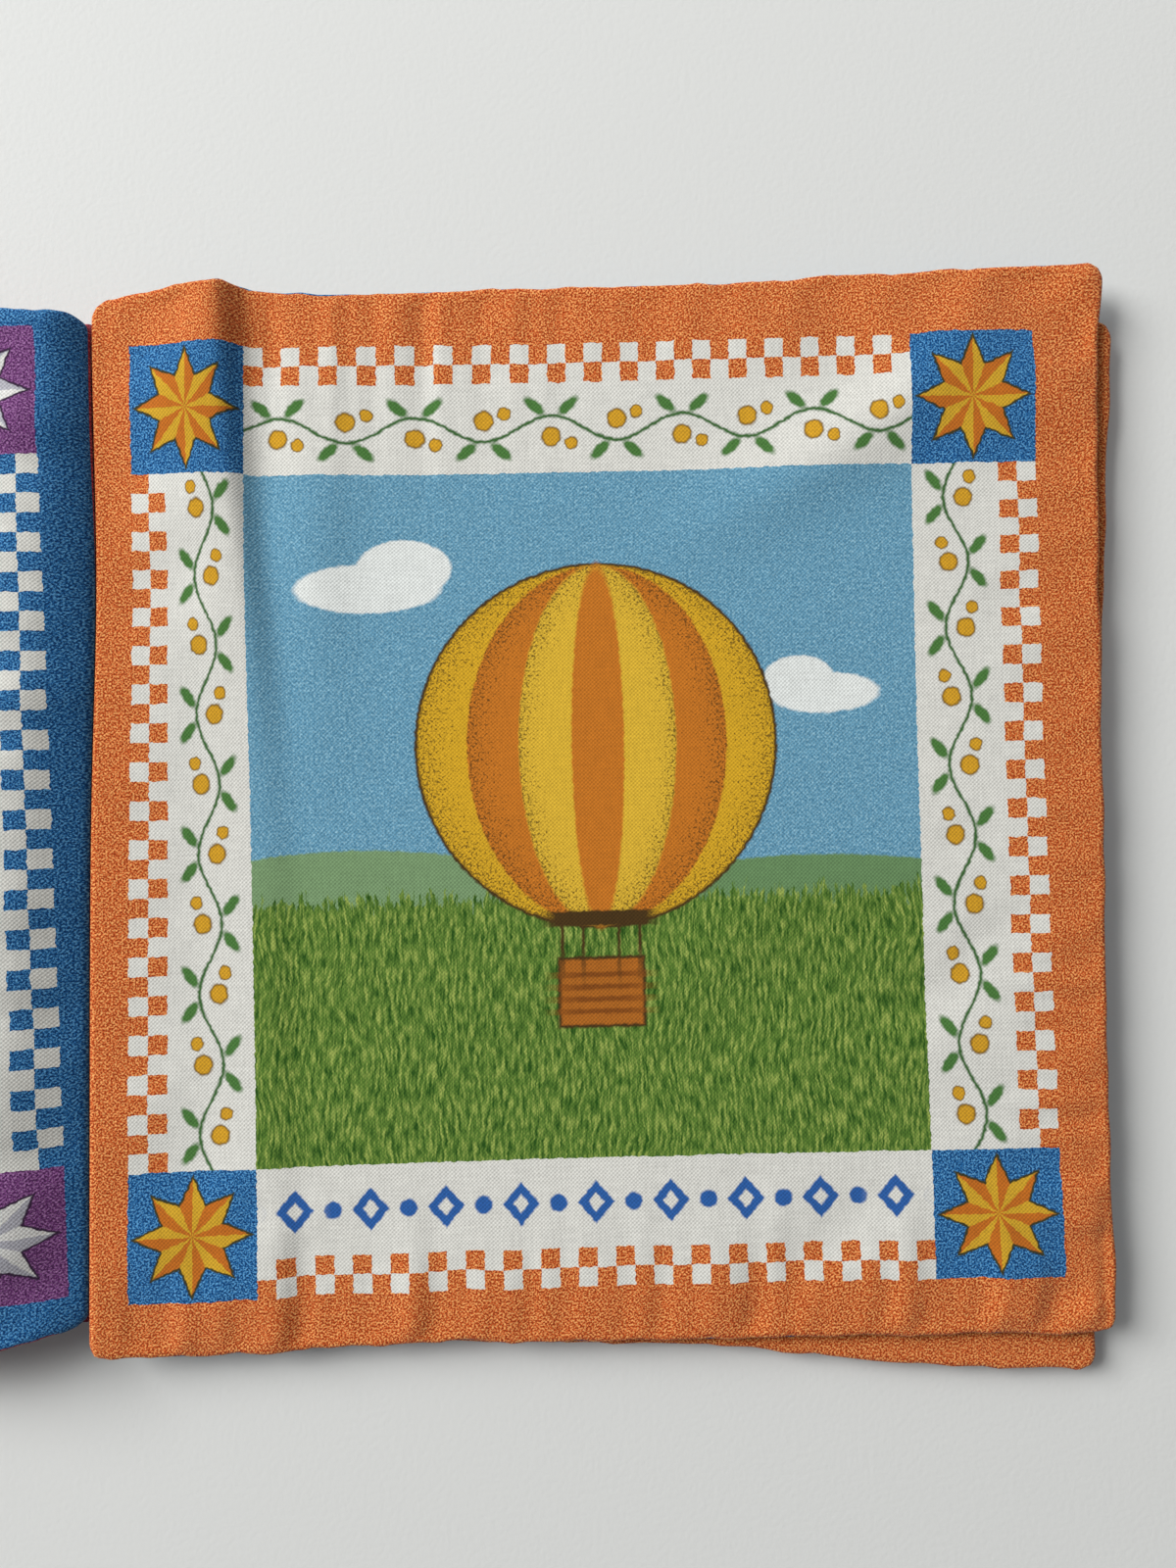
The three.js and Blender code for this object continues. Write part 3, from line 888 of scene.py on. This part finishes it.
def picture_panel(tree, place, y, picture):
    """Sky, ragged grass and the picture's shapes over them, the larger ones darkened to their rim by
    stippled ink
    """
    colour = speckled(tree, place, picture["sky"], SKY_GRAIN, PANEL_STOPS)
    blades = add_node(tree, "VectorMath MULTIPLY", place, (1.0, BLADE_LONG, 1.0))
    sway = add_node(tree, "TexNoise", place, 1 / SWAY_REPEAT, 1.0, 0.5).node.outputs["Color"]
    swaying = add_node(tree, "VectorMath MULTIPLY_ADD", sway, (SWAY, 0, 0), blades)
    field = speckled(tree, swaying, picture["field"], FIELD_GRAIN, PANEL_STOPS)
    tips = add_node(tree, "TexNoise", swaying, 1.0, 2.0, 0.7)
    grass_top = add_node(tree, "Math MULTIPLY_ADD", tips, -GRASS_TIPS, y)
    dots = add_node(tree, "TexNoise", place, 1 / STIPPLE, 2.0, 0.7)
    for form, code, middle, half in picture.get("far", []):
        distance = shape_distance(tree, place, form, middle, half)
        colour = ink(tree, colour, linear(code), distance, 1.0, INK_EDGE / min(half))
    colour = ink(tree, colour, field, grass_top, picture["horizon"] - GRASS_TIPS / 2, GRASS_EDGE)
    for form, code, middle, half in picture["shapes"]:
        distance = shape_distance(tree, place, form, middle, half)
        colour = ink(tree, colour, linear(code), distance, 1.0, INK_EDGE / min(half))
        if min(half) > STIPPLED_FROM:
            spread = add_node(tree, "Math MULTIPLY_ADD", distance, STIPPLE_REACH, dots)
            speck = add_node(tree, "MapRange", spread, *STIPPLE_STOPS, 0.0, STIPPLE_COVER)
            inside = add_node(tree, "Math LESS_THAN", distance, 1.0)
            shade = add_node(tree, "Math MULTIPLY", speck, inside)
            colour = add_node(tree, "Mix RGBA", shade, colour, linear(STIPPLE_INK))
    return colour


def corner_star(tree, from_middle, ground, inks):
    """An eight-pointed patchwork star, each point in a light and a dark half"""
    shade, light, outline = map(linear, inks)
    x, y, _ = add_node(tree, "SeparateXYZ", from_middle).node.outputs
    angle = add_node(tree, "Math ARCTAN2", y, x)
    radius = add_node(tree, "VectorMath LENGTH", from_middle)
    folded = add_node(tree, "Math PINGPONG", angle, HALF_POINT)
    valley = (STAR_VALLEY * math.cos(HALF_POINT), STAR_VALLEY * math.sin(HALF_POINT))
    flank = (1 - valley[0] / STAR_TIP) / valley[1]
    cosine = add_node(tree, "Math COSINE", folded)
    sine = add_node(tree, "Math SINE", folded)
    toward_tip = add_node(tree, "Math MULTIPLY", cosine, 1 / STAR_TIP)
    slope = add_node(tree, "Math MULTIPLY_ADD", sine, flank, toward_tip)
    distance = add_node(tree, "Math MULTIPLY", slope, radius)
    halves = add_node(tree, "Math FLOORED_MODULO", angle, 2 * HALF_POINT)
    colour = ink(tree, ground, outline, distance, STAR_RIM[1], STAR_EDGE)
    petals = ink(tree, light, shade, halves, HALF_POINT, STAR_EDGE)
    return ink(tree, colour, petals, distance, STAR_RIM[0], STAR_EDGE)


def trailing_vine(tree, along, across, ground):
    """A waving stem with two leaves and two berries at each bend"""
    inks = {name: linear(code) for name, code in VINE_INKS.items()}
    swing = add_node(tree, "Math MULTIPLY", along, math.pi / VINE_CELL)
    wave = add_node(tree, "Math SINE", swing)
    stem = add_node(tree, "Math MULTIPLY_ADD", wave, -VINE_SWING, across)
    off_stem = add_node(tree, "Math ABSOLUTE", stem)
    colour = ink(tree, ground, inks["stem"], off_stem, VINE_STEM, INK_EDGE)
    cell = add_node(tree, "Math FLOORED_MODULO", along, VINE_CELL)
    side = add_node(tree, "Math SIGN", wave)
    outward = add_node(tree, "Math MULTIPLY", across, side)
    spot = add_node(tree, "CombineXYZ", cell, outward, 0.0)
    for middle, tilt in VINE_LEAVES:
        turned = add_node(tree, "VectorRotate", spot, (*middle, 0), tilt, rotation_type="Z_AXIS")
        blade = shape_distance(tree, turned, "round", middle, VINE_LEAF_HALF)
        colour = ink(tree, colour, inks["leaf"], blade, 1.0, INK_EDGE)
    for middle, radius in VINE_BERRIES:
        berry = shape_distance(tree, spot, "round", middle, (radius, radius))
        colour = ink(tree, colour, inks["rim"], berry, BERRY_RIM[1], DOT_EDGE)
        colour = ink(tree, colour, inks["berry"], berry, BERRY_RIM[0], DOT_EDGE)
    return colour


def caption_row(tree, along, across, ground):
    """A row of blue lozenges and dots under the picture"""
    inked = linear(CAPTION_INK)
    row_half = FRAME_HALF[0] - CORNER_SQUARE
    repeat = 2 * row_half / CAPTION_COUNT
    from_end = add_node(tree, "Math ADD", along, row_half)
    cell = add_node(tree, "Math FLOORED_MODULO", from_end, repeat)
    spot = add_node(tree, "CombineXYZ", cell, across, 0.0)
    lozenge = shape_distance(tree, spot, "diamond", (repeat / 2, 0), LOZENGE_HALF)
    halfway = add_node(tree, "Math ADD", from_end, repeat / 2)
    between = add_node(tree, "Math FLOORED_MODULO", halfway, repeat)
    dot_spot = add_node(tree, "CombineXYZ", between, across, 0.0)
    dot = shape_distance(tree, dot_spot, "round", (repeat / 2, 0), CAPTION_DOT)
    off_middle = add_node(tree, "Math ABSOLUTE", along)
    last_lozenge = repeat * (CAPTION_COUNT - 1) / 2
    to_end = add_node(tree, "Math MULTIPLY", off_middle, 1 / last_lozenge)
    dot = add_node(tree, "Math MAXIMUM", dot, to_end)
    colour = ink(tree, ground, inked, lozenge, 1.0, LOZENGE_EDGE)
    colour = ink(tree, colour, linear(COTTON_WHITE), lozenge, LOZENGE_HOLE, LOZENGE_EDGE)
    return ink(tree, colour, inked, dot, 1.0, DOT_EDGE)


def printed_cotton(number, face):
    """Printed cotton for one side of a leaf, on the page's own map in the reader's direction"""
    dye, picture = FACES[number, face]
    corner_dye = CORNER_DYES[dye]
    material = bpy.data.materials.new(f"printed_cotton_leaf_{number}_{face}")
    material.use_nodes = True
    tree = material.node_tree
    page_map = add_node(tree, "UVMap", uv_map="page")
    cloth_place = add_node(tree, "VectorMath MULTIPLY", page_map, (PAGE_WIDTH, PAGE_HEIGHT, 1))
    shift = PRINT_SHIFT.get((number, face), 0)
    middle_x = shift + (PRINT_MIDDLE[0] if face == "front" else PAGE_WIDTH - PRINT_MIDDLE[0])
    centred = add_node(tree, "VectorMath SUBTRACT", cloth_place, (middle_x, PRINT_MIDDLE[1], 0))
    tilt = -math.radians(PRINT_TILT.get((number, face), 0.0))
    straight = add_node(tree, "VectorRotate", centred, (0, 0, 0), tilt, rotation_type="Z_AXIS")
    blur = add_node(tree, "TexNoise", cloth_place, 1 / CREEP_REPEAT, 1.0, 0.5).node.outputs["Color"]
    uneven = add_node(tree, "VectorMath SUBTRACT", blur, (0.5, 0.5, 0.5))
    place = add_node(tree, "VectorMath MULTIPLY_ADD", uneven, (INK_CREEP, INK_CREEP, 0), straight)

    folded = add_node(tree, "VectorMath ABSOLUTE", place)
    x, y, _ = add_node(tree, "SeparateXYZ", place).node.outputs
    beyond_frame = add_node(tree, "VectorMath SUBTRACT", folded, (*FRAME_HALF, 0))
    depth_x, depth_y, _ = add_node(tree, "SeparateXYZ", beyond_frame).node.outputs
    is_side = add_node(tree, "Math GREATER_THAN", depth_x, -CORNER_SQUARE)
    is_end = add_node(tree, "Math GREATER_THAN", depth_y, -CORNER_SQUARE)

    # Along and across the band: up the page at its sides, and across it at head and foot
    panel_x, panel_y = (half - CORNER_SQUARE for half in FRAME_HALF)
    depth = add_node(tree, "Mix FLOAT", is_side, depth_y, depth_x)
    across = add_node(tree, "Math ADD", depth, BAND_MIDDLE)

    half = CHECK_COUNT / 2
    checks_per_mm = (half / panel_x, half / panel_y, 0)
    counted = add_node(tree, "VectorMath MULTIPLY_ADD", place, checks_per_mm, (half, half, 0))
    count_x, count_y, _ = add_node(tree, "SeparateXYZ", counted).node.outputs
    count_along = add_node(tree, "Mix FLOAT", is_side, count_x, count_y)

    white = linear(COTTON_WHITE)
    along_vine = add_node(tree, "Math MULTIPLY", count_along, VINE_BENDS / CHECK_COUNT * VINE_CELL)
    band = trailing_vine(tree, along_vine, across, white)
    caption = caption_row(tree, x, across, white)
    at_foot = add_node(tree, "Math LESS_THAN", y, -panel_y)
    band = add_node(tree, "Mix RGBA", at_foot, band, caption)

    ground = speckled(tree, cloth_place, DYES[dye], FLECK, FLECK_STOPS)
    count_deep = add_node(tree, "Math DIVIDE", depth, CHECK)
    tile_along = add_node(tree, "Math FLOOR", count_along)
    tile_deep = add_node(tree, "Math FLOOR", count_deep)
    is_foot = add_node(tree, "Math LESS_THAN", y, 0.0)
    is_right = add_node(tree, "Math GREATER_THAN", x, 0.0)
    turned_round = add_node(tree, "Mix FLOAT", is_side, is_foot, is_right)
    row = add_node(tree, "Math ADD", tile_deep, turned_round)
    tiles = add_node(tree, "Math ADD", tile_along, row)
    is_white = add_node(tree, "Math FLOORED_MODULO", tiles, 2.0)
    checks = add_node(tree, "Mix RGBA", is_white, ground, white)
    in_checks = add_node(tree, "Math GREATER_THAN", depth, -2 * CHECK)
    colour = add_node(tree, "Mix RGBA", in_checks, band, checks)

    panel = picture_panel(tree, place, y, PICTURES[picture])
    beyond = add_node(tree, "Math MAXIMUM", is_side, is_end)
    colour = add_node(tree, "Mix RGBA", beyond, panel, colour)

    star_middle = (*(half - CORNER_SQUARE / 2 for half in FRAME_HALF), 0)
    from_star = add_node(tree, "VectorMath SUBTRACT", folded, star_middle)
    corner_ground = speckled(tree, cloth_place, DYES[corner_dye], FLECK, FLECK_STOPS)
    star = corner_star(tree, from_star, corner_ground, STAR_INKS[corner_dye])
    in_corner = add_node(tree, "Math MULTIPLY", is_side, is_end)
    colour = add_node(tree, "Mix RGBA", in_corner, colour, star)

    outmost = add_node(tree, "Math MAXIMUM", depth_x, depth_y)
    outside = add_node(tree, "Math GREATER_THAN", outmost, 0.0)
    colour = add_node(tree, "Mix RGBA", outside, colour, ground)
    return woven_finish(material, cloth_place, colour)


for number, face in FACES:
    us, vs = leaf_stations(number, FINE_STEP if (number, face) in OPEN_SIDES else COARSE_STEP)
    up = 1 if face == "front" else -1

    def cloth_shape(u, v, is_outer):
        inset, lift = turned_edge(number, face, u, v, np.where(is_outer, 0, CLOTH))
        turned_u, turned_v = pulled_in(u, v, inset)
        return leaf_point(number, turned_u, turned_v, lift + up * cloth_ripple(number, face, u, v))

    printed = printed_cotton(number, face)
    cloth = sewn_layer(number, f"leaf_{number}_{face}_print", us, vs, printed, cloth_shape,
                       mirrored=face == "back")
    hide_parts(f"leaf_{number}_{face}_cloth")
    bend_with_leaf(cloth)

# Seam threads
# The lockstitch that joins the two cottons of a leaf along foot, fore edge and head, hidden in the
# turned edge just inside its roundest part.
SEAM_INSET = 1.3
SEAM_STITCH = 2.5
SEAM_WAVE = 0.12

for number in LEAVES:
    low_v, high_v, fore = SEAM_INSET - HALF_HEIGHT, HALF_HEIGHT - SEAM_INSET, PAGE_WIDTH - SEAM_INSET
    steps_u = np.arange(CORNER, fore, SEAM_STITCH / 2)
    steps_v = np.arange(low_v, high_v, SEAM_STITCH / 2)
    u = np.concatenate([steps_u, np.full(len(steps_v), fore), steps_u[::-1]])
    v = np.concatenate([np.full(len(steps_u), low_v), steps_v, np.full(len(steps_u), high_v)])
    dip = np.where(np.arange(len(u)) % 2, SEAM_WAVE, -SEAM_WAVE)
    seam = thread_along(f"leaf_{number}_seam_stitches", leaf_point(number, u, v, dip) * MM, sewing_thread)
    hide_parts(f"leaf_{number}_seam_thread")
    bend_with_leaf(seam)

# Table
# A pale laminate top, faintly grained, wide enough to fill the view.
TABLE_HALF = 1.5
PEBBLE = 10 / 9
PEBBLE_RELIEF = (0.6, 0.08 * MM)


def pale_laminate():
    """Matt white laminate with a fine pebble that only softens its shine"""
    material, tree, place = new_stuff("pale_laminate")
    pebble = add_node(tree, "TexNoise", place, 1 / PEBBLE, 2.0, 0.5)
    relief = add_node(tree, "Bump", *PEBBLE_RELIEF, None, pebble)
    return surface(material, {"Base Color": linear("#e6e7e4"), "Normal": relief, "Roughness": 0.55,
                              "Specular IOR Level": 0.25})


bm = bmesh.new()
bmesh.ops.create_grid(bm, x_segments=2, y_segments=2, size=TABLE_HALF)
table = piece_from("table_top", bm, pale_laminate())

# Light and camera
# Soft daylight from the upper left of the page, and a camera straight over the right-hand page.
SKY_LEVEL = 0.12
WALL_LEVEL = 0.8
LAMPS = {
    "window": {"place": (-2.25, 1.2, 1.85), "size": 1.7, "power": 124.0},
    "room": {"place": (0.1, 0.9, 0.7), "size": 0.8, "power": 2.2},
}
LAMP_AIM = (0.1, 0.0, 0.0)
CAMERA_PLACE = (98.3, -1.1, 240.1)
CAMERA_TURN = (1.63, -0.2, -0.58)
FOCAL_PIXELS = 1208
PICTURE_HEIGHT = 1600
SENSOR = 36.0

scene = bpy.context.scene
scene.view_settings.view_transform = "Standard"
world = bpy.data.worlds.new("room")
scene.world = world
world.use_nodes = True
tree = world.node_tree
tree.nodes["Background"].inputs["Color"].default_value = linear("#fbfcff")
rays = add_node(tree, "LightPath").node.outputs
seen = add_node(tree, "Math MAXIMUM", rays["Is Camera Ray"], rays["Is Glossy Ray"])
seen = add_node(tree, "Math MAXIMUM", seen, rays["Is Transmission Ray"])
level = add_node(tree, "MapRange", seen, 0.0, 1.0, SKY_LEVEL, WALL_LEVEL)
tree.links.new(level, tree.nodes["Background"].inputs["Strength"])

for name, settings in LAMPS.items():
    light = bpy.data.lights.new(name, "AREA")
    light.shape = "SQUARE"
    light.size = settings["size"]
    light.energy = settings["power"]
    lamp = bpy.data.objects.new(name, light)
    lamp.location = settings["place"]
    lamp.rotation_euler = (Vector(LAMP_AIM) - lamp.location).to_track_quat("-Z", "Y").to_euler()
    bpy.context.collection.objects.link(lamp)

view = bpy.data.cameras.new("over_the_page")
view.sensor_fit = "VERTICAL"
view.sensor_height = SENSOR
view.lens = SENSOR * FOCAL_PIXELS / PICTURE_HEIGHT
view.clip_start = 0.01
camera = bpy.data.objects.new("over_the_page", view)
camera.location = [part * MM for part in CAMERA_PLACE]
camera.rotation_euler = [math.radians(part) for part in CAMERA_TURN]
bpy.context.collection.objects.link(camera)
scene.camera = camera
